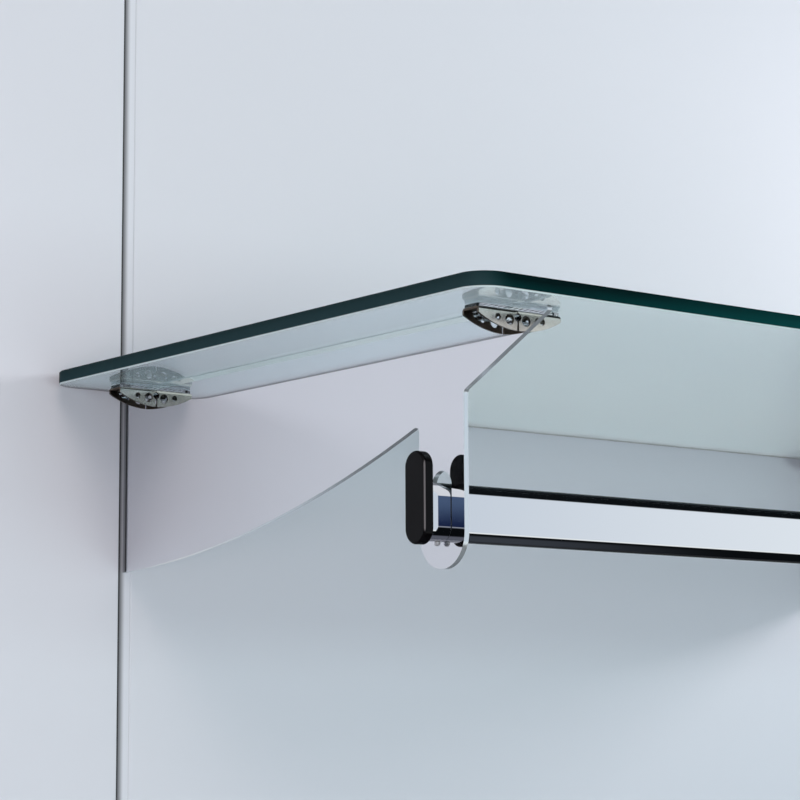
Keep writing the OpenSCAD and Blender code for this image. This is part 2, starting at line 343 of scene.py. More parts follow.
@dataclass(frozen=True)
class NickelSheet(Finish):
    """Bright nickel on stamped sheet, with rolling lines and a warm tone in patches."""

    warm: Triple = (0.66, 0.58, 0.47)
    warmth: float = 0.5
    warm_fade: Pair = (0.35, 0.75)
    rough: float = 0.13
    patchy: float = 0.08
    lined: float = 0.05
    line_depth: float = 6e-6
    lines: Pattern = Pattern(12, 4, stretch=(4, 160, 160), rough=0.7)
    patches: Pattern = Pattern(130, 3)

    def inputs(self, graph: Graph) -> dict[object, object]:
        """Gives a warm bright sheet whose lines show in roughness and height."""
        lines = self.lines.on(graph)
        patches = self.patches.on(graph)
        warmed = self.warmth * patches.ramp(*self.warm_fade)
        return {
            "Base Color": graph.blend(warmed, rgba(self.colour), rgba(self.warm)),
            "Metallic": 1.0,
            "Roughness": self.rough + self.patchy * patches + self.lined * lines,
            "Normal": graph.bump(lines, self.line_depth),
        }


@dataclass(frozen=True)
class ClearPad(Finish):
    """Clear soft plastic with a faintly frosted skin."""

    frost: Triple = (0.93, 0.96, 0.96)
    bend: float = 1.46
    haze: float = 0.02
    cloudy: float = 0.07
    grit_depth: float = 8e-6
    clouds: Pattern = Pattern(240, 3)
    grit: Pattern = Pattern(2600, 2)

    def inputs(self, graph: Graph) -> dict[object, object]:
        """Gives a clear plastic with cloudy patches in its roughness."""
        cloud = self.clouds.on(graph)
        return {
            "Base Color": graph.blend(cloud, rgba(self.colour), rgba(self.frost)),
            "Transmission Weight": 1.0,
            "IOR": self.bend,
            "Roughness": self.haze + self.cloudy * cloud,
            "Normal": graph.bump(self.grit.on(graph), self.grit_depth),
        }


@dataclass(frozen=True)
class FloatGlass(Finish):
    """Clear float glass, which tints light a little on a short way and much on a long one."""

    bend: float = 1.52
    smudge: float = 0.015
    soak: Triple = (0.16, 0.78, 0.86)
    soak_density: float = 20.0
    wiping: Pattern = Pattern(14, 4, stretch=(1, 3, 1), fade=(0.58, 0.8))

    def inputs(self, graph: Graph) -> dict[object, object]:
        """Gives clean glass with the faintest wiping marks."""
        return {
            "Base Color": rgba(self.colour),
            "Transmission Weight": 1.0,
            "IOR": self.bend,
            "Roughness": self.smudge * self.wiping.on(graph),
        }

    def interior(self, graph: Graph) -> Shade:
        """Gives the glass's own tint, by absorption."""
        tint = {"Color": rgba(self.soak), "Density": self.soak_density}
        return graph.node("ShaderNodeVolumeAbsorption", None, tint)


@dataclass(frozen=True)
class GlassEdge(Finish):
    """Opaque polished rim of the pane, painted with the teal that the long way through the glass shows.

    Painted shade deepens the teal, and the lower arris is satin. Heights are above the underside of
    the pane, and the short sides begin at the round corners.
    """

    side: Triple = (0.030, 0.066, 0.076)
    deepest: Triple = (0.001, 0.008, 0.009)
    satin: Triple = (0.60, 0.69, 0.71)
    corner: Pair = (330 * MM, 352 * MM)
    left_half: Pair = (-120 * MM, -320 * MM)
    deep_height: Pair = (1.6 * MM, 7.2 * MM)
    satin_height: Pair = (0.88 * MM, 0.56 * MM)
    deep_up: float = 0.35
    deep_streak: float = 0.25
    deep_left: float = 0.6
    side_relief: float = 0.5
    polish: float = 0.06
    satin_rough: float = 0.30
    gloss: float = 0.01
    streaks: Pattern = Pattern(30, 3, stretch=(1, 1, 6))

    def inputs(self, graph: Graph) -> dict[object, object]:
        """Gives painted teal with painted shade, deeper up and leftwards, greyer on short sides, with a satin
        arris.
        """
        x, _, z = graph.axes(graph.coords()).values()
        short_side = (x * x).ramp(*(bound**2 for bound in self.corner))
        teal = graph.blend(short_side, rgba(self.colour), rgba(self.side))
        # Painted shade: darker upwards, to the left and in streaks, and less on the short sides
        painted_depth = self.deep_up * z.ramp(*self.deep_height) + self.deep_streak * self.streaks.on(graph)
        painted_depth = (painted_depth + self.deep_left * x.ramp(*self.left_half)) * (1 - self.side_relief * short_side)
        teal = graph.blend(painted_depth.clipped(), teal, rgba(self.deepest))
        low = z.ramp(*self.satin_height)
        return {
            "Base Color": graph.blend(low, teal, rgba(self.satin)),
            "Roughness": self.polish + self.satin_rough * low,
            "Specular IOR Level": self.gloss,
        }


@dataclass(frozen=True)
class BlackMoulding(Finish):
    """Satin black moulding with a fine eroded grain, and a painted highlight along its front outer edge."""

    worn: Triple = (0.00324, 0.00292, 0.00356)
    # bright is the colour of the painted highlight on the front outer edge
    bright: Triple = (0.16, 0.15, 0.16)
    edge_fade: Pair = (1.0 * MM, 0.45 * MM)
    edge_ends: Pair = (6.595 * MM, 5.595 * MM)
    sheen: float = 0.05
    worn_rough: float = 0.05
    grain_rough: float = 0.03
    grain_depth: float = 4e-6
    gloss: float = 0.10
    grain: Pattern = Pattern(1900, 3)
    wear: Pattern = Pattern(70, 3)

    def painted_highlight_edge(self, graph: Graph) -> Shade:
        """Finds the front outer edge of both stops, which carries the painted highlight.

        The edge's fade runs from one distance inside the stop's box to a smaller one, along X and Y
        alike, and the edge's two ends stay short of the box's ends along Z.

        Args:
            graph: The tree that gets the nodes.

        Returns:
            1 on the edge and 0 elsewhere.
        """
        x, y, z = graph.axes(graph.coords()).values()
        low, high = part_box("end_stop_right")
        start, end = self.edge_fade
        bottom, top = low.z + self.edge_ends[0], high.z - self.edge_ends[1]
        across = (x * x).ramp((high.x - start) ** 2, (high.x - end) ** 2) * y.ramp(low.y + start, low.y + end)
        return across * z.ramp(bottom - start, bottom + start) * z.ramp(top + start, top - start)

    def inputs(self, graph: Graph) -> dict[object, object]:
        """Gives a near-black plastic with a grain and a painted highlight along one edge."""
        grain = self.grain.on(graph)
        wear = self.wear.on(graph)
        black = graph.blend(wear, rgba(self.colour), rgba(self.worn))
        return {
            "Base Color": graph.blend(self.painted_highlight_edge(graph), black, rgba(self.bright)),
            "Roughness": self.sheen + self.worn_rough * wear + self.grain_rough * grain,
            "Specular IOR Level": self.gloss,
            "Normal": graph.bump(grain, self.grain_depth),
        }


@dataclass(frozen=True)
class ScrewSteel(Finish):
    """Bright zinc with a cloudy, slightly uneven skin."""

    dull: Triple = (0.60, 0.60, 0.62)
    metal: float = 0.7
    haze: float = 0.22
    cloudy: float = 0.16
    skin_depth: float = 6e-6
    clouds: Pattern = Pattern(900, 3)

    def inputs(self, graph: Graph) -> dict[object, object]:
        """Gives a bright metal with cloudy roughness."""
        cloud = self.clouds.on(graph)
        return {
            "Base Color": graph.blend(cloud, rgba(self.colour), rgba(self.dull)),
            "Metallic": self.metal,
            "Roughness": self.haze + self.cloudy * cloud,
            "Normal": graph.bump(cloud, self.skin_depth),
        }


@dataclass(frozen=True)
class StudioPaint(Finish):
    """Pale matt paint of the wall panels and the floor, which show nothing from behind.

    In mirrored rays the paint glows just below the glass, and is unlit further below, up on the
    left, and above the glass where the ray passed the glass.
    """

    rough: float = 0.55
    mottle: float = 0.985
    glow: Triple = (1.0, 0.98, 1.0)
    night: Triple = (0.004, 0.005, 0.006)
    dusk: Triple = (0.040, 0.046, 0.056)
    dusk_left: Triple = (0.28, 0.29, 0.33)
    near_glass: tuple[Edge, ...] = (("z", -0.18, -0.12), ("z", 0.01, 0.0), ("x", -0.30, -0.26))
    below: Edge = ("z", -0.18, -0.30)
    up_left: tuple[Edge, ...] = (("z", 0.10, 0.20), ("x", -0.26, -0.34))
    above_glass: tuple[Edge, ...] = (("z", 0.004, 0.024), ("x", -0.28, -0.22))
    to_right: Edge = ("x", 0.0, 0.28)
    far_left: Edge = ("x", -0.4, -0.5)
    clouds: Pattern = Pattern(3, 2)

    def tone(self, graph: Graph) -> Shade:
        """Gives the colour with a faint mottle."""
        return graph.blend(self.clouds.on(graph), rgba(self.shaded(self.mottle)), rgba(self.colour))

    def material(self) -> bpy.types.Material:
        """Builds a paint that is clear from behind, so that the shelf shows from every side.

        Returns:
            The material.
        """
        made = bpy.data.materials.new(self.slot)
        made.use_nodes = True
        graph = Graph(made.node_tree)
        axes = graph.axes(graph.coords())
        passed = graph.behind_glass()
        mirrored = graph.ray(Ray.GLOSSY) * (1 - graph.ray(Ray.THROUGH)) + passed
        tone = graph.blend(mirrored * inside(axes, *self.near_glass), self.tone(graph), rgba(self.glow))
        above = (inside(axes, *self.up_left) + inside(axes, *self.above_glass) * passed).clipped()
        unlit = painted(graph, axes, Tint(self.to_right, self.dusk, self.night))
        unlit = graph.blend(above, unlit, rgba(self.night))
        unlit = graph.blend(inside(axes, self.far_left), unlit, rgba(self.dusk_left))
        tone = graph.blend(mirrored * (inside(axes, self.below) + above).clipped(), tone, unlit)
        paint = graph.node("ShaderNodeBsdfPrincipled", None, {"Base Color": tone, "Roughness": self.rough})
        clear = graph.node("ShaderNodeBsdfTransparent")
        behind = graph.node("ShaderNodeNewGeometry", output="Backfacing")
        both = graph.node("ShaderNodeMixShader", None, {0: behind, 1: paint, 2: clear})
        graph.node("ShaderNodeOutputMaterial", None, {"Surface": both})
        return made


@dataclass(frozen=True)
class JointPaint(StudioPaint):
    """Paint of the joint between two panels: a dark line, a shade fading rightwards, a faint line.

    All three are painted shade on a flat strip. Edges are in parts of the joint's width from its left side.
    """

    left: float = 0.0
    width: float = 1.0
    dark: float = 0.05
    shade: float = 0.25
    faint: float = 0.75
    dark_edge: Edge = ("across", 0.13, 0.11)
    shade_edge: Edge = ("across", 0.10, 0.62)
    faint_edge: Edge = ("across", 0.95, 0.97)

    def tone(self, graph: Graph) -> Shade:
        """Gives the colour with painted shade across the joint."""
        axes = {"across": (graph.axes(graph.coords())["x"] - self.left) / self.width}
        tint = Tint(self.shade_edge, self.shaded(self.shade), self.colour)
        tint = Tint(self.faint_edge, tint, self.shaded(self.faint))
        return painted(graph, axes, Tint(self.dark_edge, tint, self.shaded(self.dark)))


# ---------------- surfaces


def softened(path: np.ndarray, radii: np.ndarray | float, steps: int, hold: float = 0.5) -> np.ndarray:
    """Rounds each inner corner of an open polyline with an arc.

    At a corner P with unit directions a and b to its neighbours and half angle h between them, the
    arc's centre is P + unit(a + b) * r / sin(h), it starts at P + a * r / tan(h) and ends at
    P + b * r / tan(h), and its points follow the great-circle blend between those two spokes. One
    more point on each straight, hold * r beyond the arc, keeps the flat faces' shading flat.

    Args:
        path: Corners, (n, 2), in metres.
        radii: One radius, or one for each inner corner.
        steps: Points on each arc.
        hold: Distance of the holding points from the arc, in radii.

    Returns:
        The polyline with its arcs.
    """
    here = path[1:-1]
    back = path[:-2] - here
    ahead = path[2:] - here
    back = back / np.linalg.norm(back, axis=1, keepdims=True)
    ahead = ahead / np.linalg.norm(ahead, axis=1, keepdims=True)
    half = np.arccos(np.clip((back * ahead).sum(1), -1, 1)) / 2
    radius = np.broadcast_to(np.asarray(radii, float), half.shape)
    axis = back + ahead
    axis = axis / np.linalg.norm(axis, axis=1, keepdims=True)
    centre = here + axis * (radius / np.sin(half))[:, None]
    start = here + back * (radius / np.tan(half))[:, None] - centre
    end = here + ahead * (radius / np.tan(half))[:, None] - centre
    sweep = (math.pi - 2 * half)[:, None, None]
    share = np.linspace(0, 1, steps)[None, :, None]
    spokes = np.sin((1 - share) * sweep) * start[:, None] + np.sin(share * sweep) * end[:, None]
    arc = spokes / np.sin(sweep)
    before = start + back * (hold * radius)[:, None]
    after = end + ahead * (hold * radius)[:, None]
    rounded = centre[:, None] + np.concatenate([before[:, None], arc, after[:, None]], axis=1)
    return np.vstack([path[:1], rounded.reshape(-1, 2), path[-1:]])


def oval_skin(profile: np.ndarray, half_flat: float, steps: int) -> np.ndarray:
    """Carries a profile round an upright oval whose axis is X.

    A profile point (x, r) goes to (x, r cos t, c + r sin t), where t runs once round, and c is
    +half_flat on the upper half round, -half_flat on the lower one, and moves between them along
    each flat side while t stands still. The outer two of the five points on a flat side lie close
    to its ends, which keeps its shading flat.

    Args:
        profile: Points (x, r), (n, 2).
        half_flat: Half the length of the flat sides.
        steps: Facets on each half round.

    Returns:
        Points, (n, m, 3).
    """
    turn = np.linspace(0, math.pi, steps + 1)
    flat = np.array([0.985, 0.5, 0.0, -0.5, -0.985]) * half_flat
    still = np.ones(flat.size)
    angle = np.concatenate([turn, math.pi * still, math.pi + turn, 2 * math.pi * still])
    centre = np.concatenate([np.full(turn.size, half_flat), flat, np.full(turn.size, -half_flat), -flat])
    x = np.broadcast_to(profile[:, :1], (len(profile), angle.size))
    reach = profile[:, 1:]
    return np.stack([x, reach * np.cos(angle), centre + reach * np.sin(angle)], axis=-1)


def grid_faces(rows: int, columns: int, ring: bool) -> np.ndarray:
    """Gives the quads of a grid whose columns always wrap round.

    Args:
        rows: Points along the profile.
        columns: Points round.
        ring: Whether the profile closes on itself too.

    Returns:
        Corner numbers, (n, 4).
    """
    r, c = np.meshgrid(np.arange(rows if ring else rows - 1), np.arange(columns), indexing="ij")
    after_r, after_c = (r + 1) % rows, (c + 1) % columns
    corners = [r * columns + c, r * columns + after_c, after_r * columns + after_c, after_r * columns + c]
    return np.stack(corners, axis=-1).reshape(-1, 4)


@dataclass
class Surface:
    """Points and faces that grow into one piece."""

    points: list[np.ndarray] = field(default_factory=list)
    faces: list[list[int]] = field(default_factory=list)

    def add_grid(self, grid: np.ndarray, ring: bool = False) -> "Surface":
        """Adds a wrapped grid.

        Args:
            grid: Points, (rows, columns, 3).
            ring: Whether its rows close on themselves.

        Returns:
            This surface.
        """
        base = sum(len(p) for p in self.points)
        self.points.append(grid.reshape(-1, 3))
        self.faces += (grid_faces(*grid.shape[:2], ring) + base).tolist()
        return self

    def add_lid(self, rim: np.ndarray) -> "Surface":
        """Adds one flat face inside a rim of points, (n, 3)."""
        base = sum(len(p) for p in self.points)
        self.points.append(rim)
        self.faces.append(list(range(base, base + len(rim))))
        return self

    def add_solid(self, node: str) -> "Surface":
        """Adds the triangles of a CAD node, which is left as it is."""
        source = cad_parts[node].data
        corners = np.zeros(len(source.vertices) * 3)
        source.vertices.foreach_get("co", corners)
        loops = np.zeros(len(source.loops), np.int32)
        source.loops.foreach_get("vertex_index", loops)
        base = sum(len(p) for p in self.points)
        self.points.append(corners.reshape(-1, 3))
        self.faces += (loops.reshape(-1, 3) + base).tolist()
        return self

    def piece(self, name: str) -> bpy.types.Object:
        """Welds the surface and makes it a smooth-shaded object with outward faces.

        Args:
            name: The piece's name.

        Returns:
            The new object, at the origin.
        """
        mesh = bpy.data.meshes.new(name)
        mesh.from_pydata(np.vstack(self.points), [], self.faces)
        work = bmesh.new()
        work.from_mesh(mesh)
        bmesh.ops.remove_doubles(work, verts=work.verts, dist=WELD)
        bmesh.ops.dissolve_degenerate(work, dist=WELD, edges=work.edges)
        bmesh.ops.recalc_face_normals(work, faces=work.faces)
        work.to_mesh(mesh)
        work.free()
        made = bpy.data.objects.new(name, mesh)
        bpy.context.scene.collection.objects.link(made)
        return smoothed(made)


def smoothed(piece: bpy.types.Object) -> bpy.types.Object:
    """Shades faces that meet at a low angle as one curve, and hands back the piece."""
    piece.data.shade_smooth()
    piece.data.set_sharp_from_angle(angle=SHARP)
    return piece


def flattened(piece: bpy.types.Object, angle: float = 0.3) -> bpy.types.Object:
    """Joins triangles that lie in one plane, so that a bevel finds clean edges.

    Args:
        piece: The object to clean.
        angle: Largest bend in degrees that still counts as flat.

    Returns:
        The same object.
    """
    work = bmesh.new()
    work.from_mesh(piece.data)
    bmesh.ops.dissolve_limit(
        work,
        angle_limit=math.radians(angle),
        verts=work.verts,
        edges=work.edges,
        use_dissolve_boundaries=False,
    )
    work.to_mesh(piece.data)
    work.free()
    return piece


def eased(piece: bpy.types.Object, width: float, segments: int = 2) -> bpy.types.Object:
    """Breaks the sharp edges of a piece, as tumbling or polishing does.

    Args:
        piece: The object to finish.
        width: Width of the broken edge, in metres.
        segments: Facets across it.

    Returns:
        The same object.
    """
    bevel = piece.modifiers.new("eased_edges", "BEVEL")
    bevel.width = width
    bevel.segments = segments
    bevel.limit_method = "ANGLE"
    bevel.angle_limit = SHARP
    bevel.harden_normals = True
    bevel.use_clamp_overlap = True
    return piece


def face_table(piece: bpy.types.Object) -> tuple[np.ndarray, np.ndarray]:
    """Gives the centres and the normals of a piece's faces, (n, 3) each."""
    tables = np.zeros((2, len(piece.data.polygons) * 3))
    piece.data.polygons.foreach_get("center", tables[0])
    piece.data.polygons.foreach_get("normal", tables[1])
    return tables[0].reshape(-1, 3), tables[1].reshape(-1, 3)


def accent(piece: bpy.types.Object, look: bpy.types.Material, chosen: np.ndarray) -> None:
    """Gives a piece a second finish on the chosen faces, which are a truth value for each face."""
    piece.data.materials.append(look)
    piece.data.polygons.foreach_set("material_index", chosen.astype(np.int32))


def cad_box(node: str) -> tuple[np.ndarray, np.ndarray]:
    """Gives the lowest and the highest corner of a CAD node."""
    low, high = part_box(node)
    return np.array(low), np.array(high)


# ---------------- sub-assemblies


@dataclass
class SubAssembly:
    """A group of pieces that share a finish."""

    finish: Finish
    made: list[bpy.types.Object] = field(default_factory=list)
    look: bpy.types.Material | None = None

    def dress(self, piece: bpy.types.Object, body: str, *nodes: str) -> bpy.types.Object:
        """Gives a piece its finish, its body and the nodes it stands for.

        Args:
            piece: The finished object.
            body: The CAD body it rides on.
            nodes: The CAD nodes it replaces.

        Returns:
            The same object.
        """
        self.look = self.look or self.finish.material()
        piece.data.materials.clear()
        piece.data.materials.append(self.look)
        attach(piece, body)
        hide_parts(*nodes)
        self.made.append(piece)
        LOG.info("%s rides on %s in %s", piece.name, body, self.finish.slot)
        return piece

    def dress_copy(self, node: str, body: str, width: float) -> bpy.types.Object:
        """Replaces a CAD node by its own shape, welded and with edges eased to a width."""
        piece = smoothed(flattened(Surface().add_solid(node).piece(f"{node}_dressed")))
        return self.dress(eased(piece, width), body, node)


@dataclass
class BracketPlates(SubAssembly):
    """The two laser-cut plates, mirror polished, with satin cut edges."""

    edge: float = 0.22 * MM
    face_x: float = 0.9
    cut: Finish = MirrorChrome(
        "polished_chrome_cut", (0.74, 0.78, 0.82), haze=0.16, smudge=0.06, metal=0.72
    )

    def build(self) -> None:
        """Makes both plates; a face whose normal has |x| below face_x is a cut edge."""
        look = self.cut.material()
        for side in Side:
            plate = self.dress_copy(f"bracket_plate_{side.word}", "brackets", self.edge)
            facing = face_table(plate)[1]
            accent(plate, look, np.abs(facing[:, 0]) < self.face_x)


@dataclass
class Carriers(SubAssembly):
    """The four folded carriers that straddle the plates: bright outside, painted shade inside and in their
    holes.
    """

    edge: float = 0.18 * MM
    least_outward: float = 0.05
    top_z: float = 0.9
    top_depth: float = 0.05 * MM
    # The dark finish of the inner faces and holes is painted shade
    inside: Finish = NickelSheet(
        "nickel_painted_shade", (0.17, 0.135, 0.105), warm=(0.07, 0.05, 0.035), rough=0.30
    )

    def build(self) -> None:
        """Makes the four carriers.

        A face is bright where its normal points away from the carrier's middle along Y by at least
        least_outward, or where it looks up, with z above top_z, and lies within top_depth of the top;
        every other face gets the dark finish, which is painted shade.
        """
        look = self.inside.material()
        for row in Row:
            for side in Side:
                node = f"carrier_{row.value}_{side.word}"
                carrier = self.dress_copy(node, "brackets", self.edge)
                low, high = cad_box(node)
                centre, facing = face_table(carrier)
                away = np.sign(centre[:, 1] - (low + high)[1] / 2) * facing[:, 1]
                on_top = (facing[:, 2] > self.top_z) & (centre[:, 2] > high[2] - self.top_depth)
                accent(carrier, look, ~((away > self.least_outward) | on_top))


@dataclass
class Pads(SubAssembly):
    """The four clear pads under the glass."""

    edge: float = 0.12 * MM

    def build(self) -> None:
        """Makes the four pads."""
        for row in Row:
            for side in Side:
                self.dress_copy(f"pad_{row.value}_{side.word}", "brackets", self.edge)


@dataclass
class GlassShelf(SubAssembly):
    """The pane with round corners and polished, bevelled edges."""

    rim: Finish = GlassEdge("float_glass_edge", (0.002, 0.046, 0.047))
    corner: float = 15 * MM
    bevel: float = 0.8 * MM
    ease: float = 0.18 * MM
    ease_steps: int = 4
    arc_steps: int = 28
    hold: float = 2 * MM
    face_z: float = 0.95

    def outline(self, inset: float, half: np.ndarray) -> np.ndarray:
        """Gives a rounded rectangle.

        Quarter arcs of radius (corner - inset) stand round four centres that are corner in from
        each side, and one more point on each end of a straight side, hold beyond the arc, keeps
        its shading flat.

        Args:
            inset: Distance inwards from the full outline.
            half: Half the pane's sizes along X and Y.

        Returns:
            Points (x, y), (n, 2).
        """
        quarter = np.linspace(0, math.pi / 2, self.arc_steps + 1)
        start = np.arange(4)[:, None] * math.pi / 2
        angle = start + quarter
        middle = start + math.pi / 4
        centre = np.stack([np.sign(np.cos(middle)), np.sign(np.sin(middle))], -1) * (half - self.corner)
        arcs = centre + (self.corner - inset) * np.stack([np.cos(angle), np.sin(angle)], -1)
        end = start + math.pi / 2
        before = arcs[:, :1] + self.hold * np.stack([np.sin(start), -np.cos(start)], -1)
        after = arcs[:, -1:] + self.hold * np.stack([-np.sin(end), np.cos(end)], -1)
        return np.concatenate([before, arcs, after], axis=1).reshape(-1, 2)

    def build(self) -> None:
        """Makes the pane: the bevelled edge's section carried round the outline, and two flat lids."""
        low, high = cad_box("glass_shelf")
        middle, half = (low + high)[:2] / 2, (high - low)[:2] / 2
        bevel, bottom, top = self.bevel, low[2], high[2]
        lower = [[3 * bevel, bottom], [bevel, bottom], [0, bottom + bevel]]
        upper = [[0, top - bevel], [bevel, top], [3 * bevel, top]]
        profile = softened(np.array(lower + upper), self.ease, self.ease_steps)
        rings = np.stack([self.outline(inset, half) + middle for inset in profile[:, 0]])
        height = np.broadcast_to(profile[:, 1][:, None, None], (*rings.shape[:2], 1))
        grid = np.concatenate([rings, height], axis=-1)
        surface = Surface().add_grid(grid).add_lid(grid[0]).add_lid(grid[-1])
        pane = self.dress(surface.piece("glass_pane"), "shelf", "glass_shelf")
        facing = face_table(pane)[1]
        accent(pane, self.rim.material(), np.abs(facing[:, 2]) < self.face_z)


@dataclass
class HangingRail(SubAssembly):
    """The oval chrome tube."""

    wall: float = 1.2 * MM
    lip: float = 0.25 * MM
    lip_steps: int = 4
    round_steps: int = 48

    def build(self) -> None:
        """Makes the tube: its wall's outline carried round the oval."""
        low, high = cad_box("hanging_rail")
        half, radius = (high - low)[0] / 2, (high - low)[1] / 2
        flat = (high - low)[2] / 2 - radius
        inner = radius - self.wall
        lines = np.array([[0, radius], [half, radius], [half, inner], [0, inner]])
        right = softened(lines, self.lip, self.lip_steps)
        left = right[::-1] * (-1, 1)
        profile = np.vstack([right[:-1], left[:-1]])
        grid = oval_skin(profile, flat, self.round_steps) + (low + high) / 2
        self.dress(Surface().add_grid(grid, ring=True).piece("rail_tube"), "rail", "hanging_rail")


@dataclass
class EndStops(SubAssembly):
    """The two black stops: an oval plate with soft edges and a hollow plug."""

    edge: float = 1.3 * MM
    back_edge: float = 0.6 * MM
    edge_steps: int = 9
    plug: Pair = (6.2 * MM, 4.6 * MM)
    plug_flat: float = 7.5 * MM
    plug_root: float = 0.4 * MM
    plug_chamfer: float = 0.5 * MM
    plate_steps: int = 40
    plug_steps: int = 32

    def build(self) -> None:
        """Makes both stops: the sections of the plate and of the plug carried round their ovals.

        Sections are in distances outwards from the end of the tube, which the plate sits on; the
        plug starts plug_root inside the plate.
        """
        rail_low, rail_high = cad_box("hanging_rail")
        rail_z = (rail_low + rail_high)[2] / 2
        seat = rail_high[0]
        outer, bore = self.plug
        for side in Side:
            node = f"end_stop_{side.word}"
            low, high = cad_box(node)
            middle = (low + high) / 2
            reach = (high - low)[1] / 2
            flat = (high - low)[2] / 2 - reach
            tip = min(abs(low[0]), abs(high[0])) - seat
            thick = max(abs(low[0]), abs(high[0])) - seat
            lines = np.array([[thick, 0], [thick, reach], [0, reach], [0, 0]])
            plate = softened(lines, np.array([self.edge, self.back_edge]), self.edge_steps)
            chamfer = [[tip + self.plug_chamfer, outer], [tip, outer - self.plug_chamfer]]
            ring = np.array([[self.plug_root, outer], *chamfer, [tip, bore], [self.plug_root, bore]])
            skin = oval_skin(plate, flat, self.plate_steps) + (0, 0, middle[2])
            tube = oval_skin(ring, self.plug_flat, self.plug_steps) + (0, 0, rail_z)
            sign = np.array([side.value, 1, 1])
            place = np.array([side.value * seat, middle[1], 0])
            surface = Surface().add_grid(skin * sign + place).add_grid(tube * sign + place, ring=True)
            self.dress(surface.piece(f"stop_{side.word}_moulding"), f"stop_{side.word}", node)


@dataclass
class LockScrews(SubAssembly):
    """The two small screws under the rail that keep it from sliding."""

    edge: float = 0.1 * MM

    def build(self) -> None:
        """Makes both screws."""
        for side in Side:
            self.dress_copy(f"lock_screw_{side.word}", "rail", self.edge)


# ---------------- studio


@dataclass(frozen=True)
class Patch:
    """A part of the room that mirrored rays see: its edges and its colour."""

    edges: tuple[Edge, ...]
    tint: Triple | Tint


@dataclass(frozen=True)
class MirrorRoom:
    """The room that only mirrored rays see: a dim one, with bright screens.

    Edges are on the x, y and z of a ray's direction, on rise, which is how steeply the ray climbs
    on its way to the front, and on mirrors, which is how many mirrors it has met.
    """

    left: tuple[Edge, ...] = (("x", 0.0, -0.2), ("y", 0.25, 0.05))
    low_front: tuple[Edge, ...] = (("z", 0.0, -0.1), ("y", 0.42, 0.30))
    first_mirror: Edge = ("mirrors", 1.6, 1.4)
    later_mirror: Edge = ("mirrors", 1.4, 1.6)
    night: Triple = (0.004, 0.005, 0.006)
    rear: Tint = Tint(("z", -0.3, 0.6), (0.34, 0.36, 0.40), (0.66, 0.69, 0.73))
    low_right: Patch = Patch(
        (("y", -0.50, -0.30), ("x", -0.1, 0.1), ("x", 0.715, 0.64)), (0.043, 0.050, 0.061)
    )
    low_left: Patch = Patch((("y", -0.28, -0.12), ("x", 0.1, -0.1)), (0.13, 0.14, 0.17))
    floor_left: Patch = Patch((("z", -0.02, -0.12),), Tint(("z", -0.1, -0.8), rear, (0.20, 0.21, 0.24)))
    level_left: Patch = Patch((("z", -0.12, 0.0),), (0.34, 0.37, 0.42))
    window: Patch = Patch(
        (("z", 0.02, 0.05), ("x", -0.75, -0.70), ("x", -0.55, -0.58)),
        Tint(("z", 0.0895, 0.101), (0.012, 0.022, 0.07), (0.085, 0.135, 0.24)),
    )
    screen: Patch = Patch(
        (("x", 0.05, 0.30), ("y", 0.0, -0.05), ("rise", -0.85, -0.70), ("rise", 0.95, 0.70)),
        Tint(
            ("rise", -0.50, -0.60),
            Tint(("x", 0.54, 0.78), (0.56, 0.64, 0.74), (0.88, 0.95, 1.0)),
            (0.95, 1.0, 1.0),
        ),
    )
    upper_left: Patch = Patch((("z", 0.13, 0.16), ("z", 0.90, 0.82)), (0.94, 0.98, 1.0))

    def colour(self, graph: Graph, axes: dict[str, Shade]) -> object:
        """Lays the patches over one another, from the darkness behind them to the screens.

        Args:
            graph: The tree that gets the nodes.
            axes: The direction's x, y and z.

        Returns:
            The room's colour.
        """
        steep = axes["z"] / (0.001 - axes["y"])
        axes = axes | {"rise": steep, "mirrors": graph.ray(Ray.MIRRORS)}
        layers = (
            (self.low_front, self.low_right),
            (self.low_front, self.low_left),
            ((*self.left, self.first_mirror), self.floor_left),
            (self.left, self.level_left),
            ((*self.left, self.later_mirror), self.window),
            ((), self.screen),
            (self.left, self.upper_left),
        )
        room = painted(graph, axes, Tint(("y", 0.30, 0.42), self.night, self.rear))
        for shared, patch in layers:
            share = inside(axes, *shared, *patch.edges)
            room = graph.blend(share, room, painted(graph, axes, patch.tint))
        return room


@dataclass(frozen=True)
class Lamp:
    """A soft rectangular lamp, which doesn't show in reflections; the spread of its beam is in degrees."""

    name: str
    place: Triple
    aim: Triple
    size: Pair
    watts: float
    colour: Triple
    spread: float = 180

    def build(self) -> None:
        """Makes the lamp at its place, turned to its aim."""
        data = bpy.data.lights.new(self.name, "AREA")
        data.shape = "RECTANGLE"
        data.size, data.size_y = self.size
        data.energy = self.watts
        data.color = self.colour
        data.spread = math.radians(self.spread)
        made = bpy.data.objects.new(self.name, data)
        bpy.context.scene.collection.objects.link(made)
        made.visible_glossy = False
        made.visible_transmission = False
        away = np.array(self.place) - np.array(self.aim)
        away = away / np.linalg.norm(away)
        across = np.cross((0, 0, 1), away)
        across = across / np.linalg.norm(across)
        rise = np.cross(away, across)
        turn = Matrix(np.column_stack([across, rise, away]).tolist()).to_4x4()
        turn.translation = self.place
        made.matrix_world = turn


